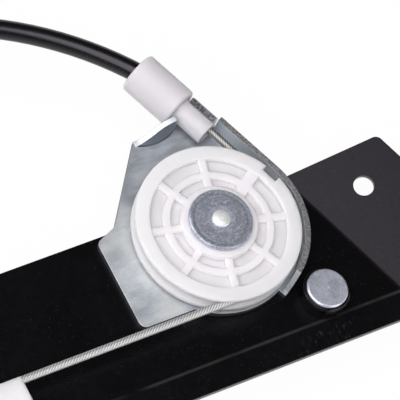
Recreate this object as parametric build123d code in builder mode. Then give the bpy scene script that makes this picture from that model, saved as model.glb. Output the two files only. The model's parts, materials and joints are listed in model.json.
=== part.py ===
"""Cable window regulator with a single guide rail, lying with the rail's outer face up.

X runs up along the guide rail, Y runs across it towards the cable ferrules and Z leaves the rail's
outer face. It is drawn about the upper pulley's axis where that meets the rail's face, and written
about the drum's axis in the plane of the mounting sleeves' ends. All sizes are in mm.
"""

import os
from math import asin, cos, degrees, radians, sin, sqrt, tan

from build123d import *

os.makedirs("parts", exist_ok=True)

# ---------------------------------------------------------------- driving dimensions

# fits, per side
running_clearance = 0.05  # a shaft in its bore
cable_clearance = 0.3  # cable in a groove, channel or casing
slide_clearance = 0.35  # nylon shoe on the rail
stack_gap = 0.2  # faces that pass each other in a stack

# guide rail
rail_sheet = 1.5
rail_upper_edge = 9.45  # from the pulley axis across to the plain edge
rail_fold = 28.85  # from the pulley axis across to the lip's fold
lip_length = 6.6
lip_angle = 10.0
fold_radius = 1.6
pulley_spacing = 450.0  # upper to lower pulley axis
rail_foot = 45.0  # web beyond the lower pulley axis
rail_corner_radius = 5.0
lower_hole_radius = 3.2
lower_hole_inset = 11.0  # from the foot's end
lower_hole_across = 10.0
access_hole_radius = 5.0
access_hole_count = 3
access_hole_pitch = 75.0

# end tab, bent up along a skewed line
tab_bend_x = 26.5  # where the bend line crosses the pulley axis line
tab_skew = 20.7  # bend line from square across the rail
tab_angle = 13.4
tab_length = 24.0
tab_step = 1.75  # how much the tab's edge lies inside the rail's
tab_corner_radius = 1.8
tab_bend_radius = 4.0
tab_lap = 1.5  # flat strip left before the bend
tab_hole_along = 12.5  # from the bend line
tab_hole_across = 6.8  # along the bend line, below the pulley axis line
tab_hole_radius = 2.5

# cable and pulleys
cable_radius = 0.9
cable_height = 5.6  # cable centre over the rail's face at a pulley
pitch_radius = 18.2
pulley_bottom = 2.6
pulley_top = 8.0
flange_edge = 1.05  # pulley flange thickness at its rim
rim_edge = 0.2  # broken edges of the pulley's upper rim
hub_radius = 9.2
hub_height = 8.5
pocket_radius = 16.5
pocket_floor = 6.5
web_thickness = 1.5
rib_count = 8
rib_width = 1.8
wide_rib_width = 2.9
rib_angle = 31.8  # the wide rib
rib_drop = 0.3  # rib tops below the rim
ring_radius = 12.5
ring_width = 1.7
notch_angle = 21.4
notch_width = 4.1
notch_depth = 1.65

# pulley axle and washer
axle_radius = 5.0
axle_shank_radius = 4.0
axle_head_radius = 6.5
axle_head_height = 1.4
washer_radius = 7.7
washer_thickness = 1.2
washer_edge = 0.3
rivet_end_radius = 2.2
rivet_end_height = 0.9

# pulley bracket
bracket_sheet = 1.5
ferrule_skew = 22.1  # direction of the ferrule from square across the rail
bracket_left = 27.0
bracket_low_edge = 15.65
bracket_left_top = 7.85
bracket_margin = 0.3  # round edge of the base beyond the pulley's rim
bracket_corner_radius = 1.8
wall_gap = 1.0  # from the pulley's rim
wall_thickness = 1.3
wall_top = 7.0
wall_start_angle = -66.0
wall_end_slope = 4.2  # how far the wall's end leans back over its height
fork_end = 25.5  # along the ferrule axis from the pulley
tab_start = 18.2
tab_relief = 0.5
finger_knee_height = 5.4
finger_lean = 2.3
finger_rise = 3.3
flange_corner = (-6.8, 28.4)
flange_middle = (-2.4, 26.75)
flange_top_middle = (-1.7, 28.75)  # the flange flares out to a nearly straight top edge
flange_swell = (0.4, 5.3)  # share of its length where the flange's steep rise ends, and its height
elbow = (-21.2, 10.05)
elbow_radius = 4.0
locating_rivet_radius = 2.0
locating_rivet_places = ((-11.0, 3.5), (6.5, -11.0))
locating_rivet_head = (3.6, 1.0)

# ferrules at the pulleys
neck_gap = 0.7  # between the neck and the guard wall
ferrule_height = 5.0
neck_radius = 3.0
neck_start = 17.6
shoulder = 26.3
mouth = 39.9
ferrule_radius = 5.15
ferrule_edge_radius = 0.7
funnel_radius = 2.1
ferrule_bore_radius = 1.3
conduit_seat = 28.0

# conduit
conduit_radius = 2.4
conduit_bore_radius = 1.2
mouth_flare = 0.9
mouth_flare_depth = 3.2
kink_along = 39.2
kink_radius = 12.0
sweep_radius = 84.0
sweep_bearing = 130.05  # direction of the run between the kink and the sweep, from +X
sweep_lead = 2.73  # from the kink's corner to the start of the sweep
funnel_end = 17.0  # where the cable leaves the pulley's tangent for the ferrule
ease_radius = 20.0

# drum and its housing, midway between the pulleys
drum_pitch_radius = 18.0
drum_rim = 2.4  # flange beyond the pitch radius
drum_bottom = -1.6
drum_top = 11.6
drum_journal_radius = 9.0
drum_turn_offset = 2.7  # height from the running cable to each stored turn
drum_flange = 1.4
drum_leave = 3.0  # where the running cable ends beside the drum's crown
spline_count = 12
spline_root_radius = 6.6
spline_tip_radius = 5.4
spline_width = 1.5
cavity_gap = 1.6  # between the drum's flanges and the housing's wall
housing_wall = 2.8
housing_floor = 3.6
cover_thickness = 3.0
cover_collar_radius = 13.0
cover_collar_height = 1.2
boss_circle = 29.0
boss_radius = 4.6
boss_angles = (30.0, 150.0, 270.0)
pilot_radius = 1.7
motor_pilot_radius = 2.1
motor_pilot_depth = 9.0  # for the motor's screws, from below
screw_depth = 5.0
screw_room = 1.0  # pilot beyond a cover screw's end
ear_circle = 38.0
ear_angles = (90.0, 210.0, 330.0)
ear_radius = 9.5
ear_bottom = -7.5
ear_thickness = 4.0
nozzle_reach = 44.0
nozzle_radius = 5.6
housing_rib_count = 24
housing_rib_width = 1.4
housing_rib_height = 1.3
screw_head_radius = 3.5
screw_head_height = 2.2

# mounting bushes and sleeves in the housing's ears
bush_neck_radius = 6.0
bush_flange_radius = 8.0
bush_flange_thickness = 2.6
sleeve_radius = 4.2
sleeve_bore_radius = 3.1
rest_level = -13.5  # the studs' and sleeves' ends

# ferrules at the housing
stub_radius = 4.4
stub_length = 14.0
stub_neck_length = 9.0
stub_seat = 3.0  # conduit end from the neck's shoulder

# fixing studs
stud_bearing = -52.31  # from +X about the pulley's axis
stud_gap = 1.39  # between the collar and the guard wall
stud_radius = 5.0
stud_top = 5.2
stud_chamfer = 0.35
collar_radius = 5.75
collar_top = 4.4
stud_thread_radius = 3.0
stud_press_radius = 3.6  # where it is pressed through the rail

# carriage, near the top of its travel
shoe_front = -61.4
shoe_length = 60.0
shoe_top = 7.5
channel_opening = 0.6  # from the cable's centre to the shoe's edge
shoe_wall = 3.8  # outside the rail's lip
shoe_bottom = -6.5
jaw_reach = 31.5
shoe_corner_radius = 0.8
plate_sheet = 2.0
plate_front = -73.0
plate_back = -119.0
plate_wing_height = 16.0
plate_upper_side = 18.0
plate_outer_side = -82.0
plate_knees = ((-4.0, -10.0), (-42.0, -48.0))  # high and low end of each joggle
plate_bend_radius = 3.0
glass_hole_x = -86.0
glass_hole_sides = (-68.0, 6.0)
bush_outer_radius = 5.0
glass_bush_bore_radius = 3.2
glass_bush_flange = (7.5, 1.5)  # radius and thickness
glass_pad_radius = 8.5
glass_pad_thickness = 2.5
window_size = (26.0, 9.0)
plate_corner_radius = 6.0
guide_front = -98.0
guide_back = -116.0
guide_sides = (4.0, 14.5)
guide_bottom = -4.5
guide_rivet_place = (-107.0, 9.25)
rivet_radius = 2.4
rivet_head = (4.4, 1.6)
rivet_depth = 5.0
shoe_rivet_x = (-80.0, -112.0)
shoe_rivet_side = -27.5
nipple_radius = 1.85
nipple_length = 8.0
nipple_x = -92.0

# ---------------------------------------------------------------- derived places

pulley_radius = pitch_radius + 2 * cable_radius
pulley_groove_radius = pitch_radius - cable_radius - cable_clearance
bracket_arc_radius = pulley_radius + bracket_margin
wall_inner_radius = pulley_radius + wall_gap
wall_outer_radius = wall_inner_radius + wall_thickness
ferrule_offset = wall_inner_radius - neck_gap - neck_radius
stud_reach = wall_outer_radius + stud_gap + collar_radius
stud_x = stud_reach * cos(radians(stud_bearing))
stud_across = -stud_reach * sin(radians(stud_bearing))
mid_plane = Plane.YZ.offset(-pulley_spacing / 2)
lower_pulley_place = (-pulley_spacing, 0)
cable_side = -pitch_radius
drum_flange_radius = drum_pitch_radius + drum_rim
drum_groove_radius = drum_pitch_radius - cable_radius - cable_clearance
drum_cavity_radius = drum_flange_radius + cavity_gap
housing_radius = drum_cavity_radius + housing_wall
housing_top = drum_top + 2 * stack_gap
housing_bottom = drum_bottom - stack_gap - housing_floor
cover_top = housing_top + cover_thickness
washer_bottom = hub_height + stack_gap
washer_top = washer_bottom + washer_thickness
shoe_back = shoe_front - shoe_length
plate_bottom = shoe_top
lower_stud_x = -pulley_spacing - stud_x
foot_end = -pulley_spacing - rail_foot
out_x, out_y = cos(radians(ferrule_skew)), sin(radians(ferrule_skew))
lip_y, lip_z = cos(radians(lip_angle)), sin(radians(lip_angle))
lip_tip_y = -rail_fold - lip_length * lip_y
lip_tip_z = -lip_length * lip_z
shoe_upper_side = cable_side + channel_opening
shoe_outer_side = lip_tip_y - slide_clearance - shoe_wall


def beside(offset, along):
    """Point at an offset out from the pulley axis and a distance along the ferrule's direction."""
    return (offset * out_x - along * out_y, offset * out_y + along * out_x)


def mirrored(x, y):
    """Place at the lower end that mirrors a place at the upper end."""
    return (-pulley_spacing - x, y)


def domed(radius, base, height):
    """Outline of a low domed head from its rim to its middle."""
    rim = height / 3
    quarter = [radians(angle) for angle in (0, 30, 60, 90)]
    return [(radius * cos(turn), base + rim + (height - rim) * sin(turn)) for turn in quarter]


def turned(outline, place):
    """Solid made by revolving a closed (radius, height) outline about the vertical line at place."""
    with BuildPart() as turning:
        with BuildSketch(Plane((*place, 0), x_dir=(1, 0, 0), z_dir=(0, -1, 0))):
            with BuildLine():
                Polyline(*outline, close=True)
            make_face()
        revolve(axis=Axis((*place, 0), (0, 0, 1)))
    return turning.part


# the sweep ends square to the drum's cable line, which places the drum
kink = beside(ferrule_offset, kink_along)
sweep_turn = radians(180 - sweep_bearing)
sweep_run = sweep_radius * tan(sweep_turn / 2) + sweep_lead
sweep_corner = (kink[0] - sweep_run * cos(sweep_turn), kink[1] + sweep_run * sin(sweep_turn))
conduit_line = sweep_corner[1]
drum_place = (-pulley_spacing / 2, conduit_line - drum_pitch_radius)
datum = Vector(*drum_place, rest_level)


def publish(part, label):
    """Name a finished sub-part and write its STEP file, measured from the datum."""
    placed = part.moved(Location(-datum))
    placed.label = label
    export_step(placed, f"parts/{label}.step")


def publish_pair(part, upper_name, lower_name):
    """Write a sub-part of the upper end and its mirror image for the lower end."""
    publish(part, upper_name)
    with BuildPart() as other_hand:
        mirror(part, about=mid_plane)
    publish(other_hand.part, lower_name)


# ---------------------------------------------------------------- guide rail

tab_out = Vector(cos(radians(tab_skew)), sin(radians(tab_skew)), 0)  # square to the bend line
tab_rise = Vector(0, 0, 1)
tab_along = tab_out * cos(radians(tab_angle)) + tab_rise * sin(radians(tab_angle))
tab_normal = tab_rise * cos(radians(tab_angle)) - tab_out * sin(radians(tab_angle))
tab_origin = Vector(tab_bend_x, 0, 0)
tab_section = Plane(tab_origin, x_dir=tab_out, z_dir=tab_out.cross(tab_rise))
tab_face = Plane(tab_origin, x_dir=tab_along, z_dir=tab_normal)
tab_upper_edge = rail_upper_edge - tab_step
strip_reach = 3 * rail_fold  # longer than the rail is wide

# the end tab: a strip bent up along the skewed line, then trimmed to its width
with BuildPart() as end_tab:
    with BuildSketch(tab_section):
        with BuildLine():
            FilletPolyline(
                (-tab_lap, 0),
                (0, 0),
                (tab_length * cos(radians(tab_angle)), tab_length * sin(radians(tab_angle))),
                radius=tab_bend_radius,
            )
            offset(amount=rail_sheet, side=Side.RIGHT)
        make_face()
    extrude(amount=strip_reach, both=True)
    with BuildSketch(Plane.XY.offset(-strip_reach / 2)):
        with BuildLine():
            Polyline(
                (-strip_reach, tab_upper_edge),
                (strip_reach, tab_upper_edge),
                (strip_reach, -rail_fold),
                (-strip_reach, -rail_fold),
                close=True,
            )
        make_face()
    extrude(amount=strip_reach, mode=Mode.INTERSECT)
    end_face = end_tab.faces().sort_by(Axis(tab_origin, tab_along))[-1]
    fillet(end_face.edges().group_by(SortBy.LENGTH)[0], tab_corner_radius)
    with BuildSketch(tab_face):
        with Locations((tab_hole_along, -tab_hole_across)):
            Circle(tab_hole_radius)
    extrude(amount=rail_sheet, both=True, mode=Mode.SUBTRACT)

with BuildPart() as guide_rail:
    # the web and its lip, folded from one strip
    with BuildSketch(Plane.YZ.offset(foot_end)):
        with BuildLine():
            FilletPolyline(
                (rail_upper_edge, 0),
                (-rail_fold, 0),
                (-rail_fold - lip_length * lip_y, -lip_length * lip_z),
                radius=fold_radius,
            )
            offset(amount=rail_sheet, side=Side.LEFT)
        make_face()
    extrude(amount=strip_reach - foot_end)
    # the upper end is cut back to the skewed bend line, where the tab starts
    split(bisect_by=Plane(tab_origin - tab_out * (tab_lap / 2), z_dir=tab_out), keep=Keep.BOTTOM)
    fillet(guide_rail.edges().filter_by(Axis.Z).group_by(Axis.X)[0], rail_corner_radius)
    # the plain edge steps in under the bracket to the tab's width
    with BuildSketch(Plane.XY.offset(-rail_sheet)):
        with BuildLine():
            Polyline(
                (0, rail_upper_edge),
                (2 * axle_head_radius, tab_upper_edge),
                (strip_reach, tab_upper_edge),
                (strip_reach, rail_upper_edge),
                close=True,
            )
        make_face()
    extrude(amount=rail_sheet, mode=Mode.SUBTRACT)
    add(end_tab.part)
    # holes: axles, locating rivets, studs, foot and the row of access holes
    with BuildSketch():
        with Locations((0, 0), lower_pulley_place):
            Circle(axle_shank_radius)
        with Locations(*locating_rivet_places, *[mirrored(*place) for place in locating_rivet_places]):
            Circle(locating_rivet_radius)
        with Locations((stud_x, -stud_across), (lower_stud_x, -stud_across)):
            Circle(stud_press_radius)
        with Locations((foot_end + lower_hole_inset, -lower_hole_across)):
            Circle(lower_hole_radius)
        with Locations((-pulley_spacing / 2, -lower_hole_across)):
            with GridLocations(access_hole_pitch, 1, access_hole_count, 1):
                Circle(access_hole_radius)
    extrude(amount=rail_sheet, both=True, mode=Mode.SUBTRACT)
publish(guide_rail.part, "guide_rail")

# ---------------------------------------------------------------- pulley brackets

low_join = (-sqrt(bracket_arc_radius**2 - bracket_low_edge**2), -bracket_low_edge)
wall_start = radians(wall_start_angle)
fork_left = beside(ferrule_offset - neck_radius - stack_gap, fork_end)
fork_right = beside(wall_outer_radius, fork_end)
wall_sweep = ferrule_skew - wall_start_angle
ferrule_side = Vector(out_x, out_y, 0)
ferrule_way = Vector(-out_y, out_x, 0)

with BuildPart() as pulley_bracket:
    # base plate
    with BuildSketch():
        with BuildLine():
            FilletPolyline(
                low_join,
                (-bracket_left, -bracket_low_edge),
                (-bracket_left, bracket_left_top),
                elbow,
                flange_corner,
                radius=(bracket_corner_radius, bracket_corner_radius, elbow_radius),
            )
            ThreePointArc(flange_corner, flange_middle, fork_left)
            Line(fork_left, fork_right)
            Line(fork_right, beside(wall_outer_radius, 0))
            outer = CenterArc((0, 0), wall_outer_radius, ferrule_skew, -wall_sweep)
            Line(outer @ 1, (bracket_arc_radius * cos(wall_start), bracket_arc_radius * sin(wall_start)))
            low_end = degrees(asin(low_join[1] / bracket_arc_radius))
            CenterArc((0, 0), bracket_arc_radius, wall_start_angle, -180 - low_end - wall_start_angle)
        make_face()
    extrude(amount=bracket_sheet)
    # guard wall round the pulley and along the cable
    with BuildSketch():
        with BuildLine():
            outer = CenterArc((0, 0), wall_outer_radius, wall_start_angle, wall_sweep)
            inner = CenterArc((0, 0), wall_inner_radius, wall_start_angle, wall_sweep)
            Polyline(
                outer @ 1,
                beside(wall_outer_radius, tab_start - tab_relief),
                beside(wall_inner_radius, tab_start - tab_relief),
                inner @ 1,
            )
            Line(outer @ 0, inner @ 0)
        make_face()
    extrude(amount=wall_top)
    # the wall's lower end leans back
    with BuildSketch(Plane((0, 0, 0), x_dir=(-sin(wall_start), cos(wall_start), 0),
                           z_dir=(cos(wall_start), sin(wall_start), 0))):
        with BuildLine():
            Polyline(
                (-wall_end_slope, bracket_sheet),
                (0, bracket_sheet),
                (wall_end_slope, wall_top),
                (-wall_end_slope, wall_top),
                close=True,
            )
        make_face()
    extrude(amount=pulley_radius + wall_outer_radius, mode=Mode.SUBTRACT)
    # finger that folds in over the ferrule's neck
    with BuildSketch(Plane(ferrule_way * tab_start, x_dir=ferrule_side, z_dir=-ferrule_way)):
        with BuildLine():
            FilletPolyline(
                (wall_outer_radius, 0),
                (wall_outer_radius, finger_knee_height),
                (wall_outer_radius - finger_lean, finger_knee_height + finger_rise),
                radius=wall_thickness + stack_gap,
            )
            offset(amount=wall_thickness, side=Side.LEFT)
        make_face()
    extrude(amount=tab_start - fork_end)
    # curved flange that rises towards the neck
    for level, middle in ((0, flange_middle), (wall_top, flange_top_middle)):
        with BuildSketch(Plane.XY.offset(level)):
            with BuildLine():
                ThreePointArc(flange_corner, middle, fork_left)
                offset(amount=wall_thickness, side=Side.RIGHT)
            make_face()
    loft()
    rise = Vector(*fork_left) - Vector(*flange_corner)
    swell_share, swell_height = flange_swell
    with BuildSketch(Plane(flange_corner, x_dir=rise, z_dir=rise.cross(Vector(0, 0, 1)))):
        with BuildLine():
            Spline(
                (0, bracket_sheet),
                (swell_share * rise.length, swell_height),
                (rise.length, wall_top),
            )
            Polyline(
                (rise.length, wall_top),
                (rise.length, 2 * wall_top),
                (-bracket_sheet, 2 * wall_top),
                (-bracket_sheet, bracket_sheet),
                (0, bracket_sheet),
            )
        make_face()
    extrude(amount=2 * wall_thickness, both=True, mode=Mode.SUBTRACT)
    # the flange and the neck's seat stay clear of the ferrule's neck
    with BuildSketch(Plane.XY.offset(bracket_sheet)):
        with BuildLine():
            Polyline(
                beside(ferrule_offset, tab_start),
                beside(ferrule_offset, fork_end + bracket_sheet),
                beside(ferrule_offset - neck_radius - stack_gap, fork_end + bracket_sheet),
                beside(ferrule_offset - neck_radius - stack_gap, tab_start),
                close=True,
            )
        make_face()
    extrude(amount=wall_top, mode=Mode.SUBTRACT)
    with BuildSketch():
        Circle(axle_shank_radius)
        with Locations(*locating_rivet_places):
            Circle(locating_rivet_radius)
    extrude(amount=bracket_sheet, mode=Mode.SUBTRACT)
publish_pair(pulley_bracket.part, "upper_pulley_bracket", "lower_pulley_bracket")

# flush rivets under each pulley keep its bracket from turning
head_radius, head_height = locating_rivet_head
with BuildPart() as bracket_rivets:
    for place in (*locating_rivet_places, *[mirrored(*place) for place in locating_rivet_places]):
        shank = (
            (0, -rail_sheet - head_height),
            (head_radius - head_height / 2, -rail_sheet - head_height),
            (head_radius, -rail_sheet),
            (locating_rivet_radius, -rail_sheet),
            (locating_rivet_radius, bracket_sheet),
            (0, bracket_sheet),
        )
        add(turned(shank, place))
publish(bracket_rivets.part, "bracket_rivets")

# ---------------------------------------------------------------- pulleys

groove_half = cable_radius + cable_clearance
web_bottom = pocket_floor - web_thickness
hub_bottom = bracket_sheet + stack_gap
bore_radius = axle_radius + running_clearance
rib_top = pulley_top - rib_drop
rib_bottom = pulley_bottom + rib_drop
rib_middle = (hub_radius + pocket_radius) / 2
rib_length = pocket_radius - hub_radius + 2 * rib_drop

with BuildPart() as upper_pulley:
    add(
        turned(
            (
                (bore_radius, hub_bottom),
                (hub_radius, hub_bottom),
                (hub_radius, web_bottom),
                (pocket_radius, web_bottom),
                (pocket_radius, pulley_bottom),
                (pulley_radius, pulley_bottom),
                (pulley_radius, pulley_bottom + flange_edge),
                (pulley_groove_radius, cable_height - groove_half),
                (pulley_groove_radius, cable_height + groove_half),
                (pulley_radius, pulley_top - flange_edge),
                (pulley_radius, pulley_top - rim_edge),
                (pulley_radius - rim_edge, pulley_top),
                (pocket_radius + rim_edge, pulley_top),
                (pocket_radius, pulley_top - rim_edge),
                (pocket_radius, pocket_floor),
                (hub_radius, pocket_floor),
                (hub_radius, hub_height),
                (bore_radius, hub_height),
            ),
            (0, 0),
        )
    )
    # ribs and a middle ring on both faces of the web
    for level, height in ((pocket_floor, rib_top - pocket_floor), (rib_bottom, web_bottom - rib_bottom)):
        with BuildSketch(Plane.XY.offset(level)):
            Circle(ring_radius + ring_width / 2)
            Circle(ring_radius - ring_width / 2, mode=Mode.SUBTRACT)
            with PolarLocations(rib_middle, rib_count, rib_angle):
                Rectangle(rib_length, rib_width)
            with PolarLocations(rib_middle, 1, rib_angle):
                Rectangle(rib_length, wide_rib_width)
        extrude(amount=height)
    # one notch through the upper flange, where the cable is laid in
    with BuildSketch(Plane.XY.offset(cable_height + groove_half)):
        with PolarLocations(pulley_radius, 1, notch_angle):
            Rectangle(2 * notch_depth, notch_width)
    extrude(amount=pulley_top, mode=Mode.SUBTRACT)
publish(upper_pulley.part, "upper_pulley")

with BuildPart() as lower_pulley:
    with Locations(lower_pulley_place):
        add(upper_pulley.part)
publish(lower_pulley.part, "lower_pulley")

# axle: a shouldered rivet headed over a washer
head_bottom = -rail_sheet - axle_head_height
for place, end in (((0, 0), "upper"), (lower_pulley_place, "lower")):
    with BuildPart() as axle:
        add(
            turned(
                (
                    (0, head_bottom),
                    (axle_head_radius - axle_head_height / 2, head_bottom),
                    (axle_head_radius, -rail_sheet),
                    (axle_shank_radius, -rail_sheet),
                    (axle_shank_radius, bracket_sheet),
                    (axle_radius, bracket_sheet),
                    (axle_radius, washer_bottom),
                    (rivet_end_radius, washer_bottom),
                    *domed(rivet_end_radius, washer_top, rivet_end_height),
                ),
                place,
            )
        )
    publish(axle.part, f"{end}_axle_rivet")
    with BuildPart() as axle_washer:
        add(
            turned(
                (
                    (rivet_end_radius, washer_bottom),
                    (washer_radius - washer_edge, washer_bottom),
                    (washer_radius, washer_bottom + washer_edge),
                    (washer_radius, washer_top - washer_edge),
                    (washer_radius - washer_edge, washer_top),
                    (rivet_end_radius, washer_top),
                ),
                place,
            )
        )
    publish(axle_washer.part, f"{end}_axle_washer")

# ---------------------------------------------------------------- fixing studs

stud_places = ((stud_x, -stud_across), (lower_stud_x, -stud_across))
with BuildPart() as fixing_studs:
    for place in stud_places:
        stud = (
            (0, rest_level),
            (stud_thread_radius - stud_chamfer, rest_level),
            (stud_thread_radius, rest_level + stud_chamfer),
            (stud_thread_radius, -rail_sheet),
            (stud_press_radius, -rail_sheet),
            (stud_press_radius, 0),
            (stud_radius, 0),
            (stud_radius, stud_top - stud_chamfer),
            (stud_radius - stud_chamfer, stud_top),
            (0, stud_top),
        )
        add(turned(stud, place))
publish(fixing_studs.part, "fixing_studs")

with BuildPart() as stud_collars:
    with BuildSketch():
        with Locations(*stud_places):
            Circle(collar_radius)
            Circle(stud_radius, mode=Mode.SUBTRACT)
    extrude(amount=collar_top)
    crowns = stud_collars.edges().group_by(Axis.Z)[-1].filter_by(GeomType.CIRCLE)
    chamfer(crowns.group_by(SortBy.RADIUS)[-1], stud_chamfer)
publish(stud_collars.part, "stud_collars")

# ---------------------------------------------------------------- ferrules at the pulleys

ferrule_axis = Axis((*beside(ferrule_offset, 0), ferrule_height), ferrule_way)
ferrule_section = Plane(ferrule_axis.position, x_dir=ferrule_way, z_dir=ferrule_way.cross(Vector(0, 0, 1)))
socket_radius = conduit_radius + running_clearance

with BuildPart() as pulley_ferrule:
    with BuildSketch(ferrule_section):
        with BuildLine():
            Polyline(
                (neck_start, funnel_radius),
                (neck_start, neck_radius),
                (shoulder, neck_radius),
                (shoulder, ferrule_radius),
                (mouth, ferrule_radius),
                (mouth, socket_radius + mouth_flare),
                (mouth - mouth_flare_depth, socket_radius),
                (conduit_seat, socket_radius),
                (conduit_seat, ferrule_bore_radius),
                close=True,
            )
        make_face()
        fillet(vertices().filter_by(lambda corner: corner.Y >= ferrule_radius), ferrule_edge_radius)
    revolve(axis=ferrule_axis)
publish_pair(pulley_ferrule.part, "upper_ferrule", "lower_ferrule")

# ---------------------------------------------------------------- conduits and cable

stub_shoulder = drum_place[0] + nozzle_reach  # where the housing's nozzle ends
conduit_end = stub_shoulder + stub_seat
conduit_start = beside(ferrule_offset, conduit_seat)
cable_leave = drum_place[0] + drum_leave

with BuildPart() as conduit:
    with BuildLine() as conduit_route:
        FilletPolyline(
            (*conduit_start, ferrule_height),
            (*kink, ferrule_height),
            (*sweep_corner, ferrule_height),
            (conduit_end, conduit_line, ferrule_height),
            radius=(kink_radius, sweep_radius),
        )
    with BuildSketch(Plane(conduit_route.line @ 0, z_dir=conduit_route.line % 0)):
        Circle(conduit_radius)
        Circle(conduit_bore_radius, mode=Mode.SUBTRACT)
    sweep()
publish_pair(conduit.part, "upper_conduit", "lower_conduit")

# one rope: from the drum through the upper conduit, round the upper pulley, down the rail,
# round the lower pulley and back through the lower conduit
wrap_corner = (pitch_radius * (1 + out_y) / out_x, cable_side)
upper_route = (
    (cable_leave, conduit_line, ferrule_height),
    (*sweep_corner, ferrule_height),
    (*kink, ferrule_height),
    (*beside(ferrule_offset, conduit_seat), ferrule_height),
    (*beside(pitch_radius, funnel_end), cable_height),
    (*wrap_corner, cable_height),
)
upper_radii = (sweep_radius, kink_radius, ease_radius, ease_radius, pitch_radius)
lower_route = [(*mirrored(x, y), z) for x, y, z in reversed(upper_route)]
with BuildPart() as lift_cable:
    with BuildLine() as cable_route:
        FilletPolyline(*upper_route, *lower_route, radius=(*upper_radii, *reversed(upper_radii)))
    with BuildSketch(Plane(cable_route.line @ 0, z_dir=cable_route.line % 0)):
        Circle(cable_radius)
    sweep()
publish(lift_cable.part, "lift_cable")

# ferrule that seats a conduit's end in the drum housing's nozzle
with BuildPart() as housing_ferrule:
    with BuildSketch(Plane((0, conduit_line, ferrule_height), x_dir=(1, 0, 0), z_dir=(0, -1, 0))):
        with BuildLine():
            Polyline(
                (stub_shoulder - stub_neck_length, ferrule_bore_radius),
                (stub_shoulder - stub_neck_length, neck_radius),
                (stub_shoulder, neck_radius),
                (stub_shoulder, stub_radius),
                (stub_shoulder + stub_length, stub_radius),
                (stub_shoulder + stub_length, socket_radius),
                (conduit_end, socket_radius),
                (conduit_end, ferrule_bore_radius),
                close=True,
            )
        make_face()
        fillet(vertices().filter_by(lambda corner: corner.Y >= stub_radius), ferrule_edge_radius)
    revolve(axis=Axis((0, conduit_line, ferrule_height), (1, 0, 0)))
publish_pair(housing_ferrule.part, "upper_housing_ferrule", "lower_housing_ferrule")

# ---------------------------------------------------------------- drum

journal_bottom = housing_bottom + stack_gap
journal_top = cover_top + cover_collar_height - stack_gap
with BuildPart() as cable_drum:
    add(
        turned(
            (
                (0, journal_bottom),
                (drum_journal_radius, journal_bottom),
                (drum_journal_radius, drum_bottom),
                (drum_flange_radius, drum_bottom),
                (drum_flange_radius, drum_bottom + drum_flange),
                (drum_groove_radius, drum_bottom + drum_flange),
                (drum_groove_radius, drum_top - drum_flange),
                (drum_flange_radius, drum_top - drum_flange),
                (drum_flange_radius, drum_top),
                (drum_journal_radius, drum_top),
                (drum_journal_radius, journal_top),
                (0, journal_top),
            ),
            drum_place,
        )
    )
    # splined socket for the motor's shaft
    with BuildSketch(Plane.XY.offset(journal_bottom)):
        with Locations(drum_place):
            Circle(spline_root_radius)
            with PolarLocations(spline_root_radius, spline_count):
                Rectangle(2 * (spline_root_radius - spline_tip_radius), spline_width, mode=Mode.SUBTRACT)
    extrude(amount=journal_top - journal_bottom, mode=Mode.SUBTRACT)
publish(cable_drum.part, "cable_drum")

turn_sides = 6  # the stored turns are plain rings with a hexagonal section
turn_heights = (ferrule_height - drum_turn_offset, ferrule_height + drum_turn_offset)
with BuildPart() as drum_cable_turns:
    for height in turn_heights:
        with BuildSketch(Plane.XZ.offset(-drum_place[1])):
            with Locations((drum_place[0] + drum_pitch_radius - cable_clearance, height)):
                RegularPolygon(cable_radius, turn_sides)
        revolve(axis=Axis((*drum_place, 0), (0, 0, 1)))
publish(drum_cable_turns.part, "drum_cable_turns")

# ---------------------------------------------------------------- drum housing

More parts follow.
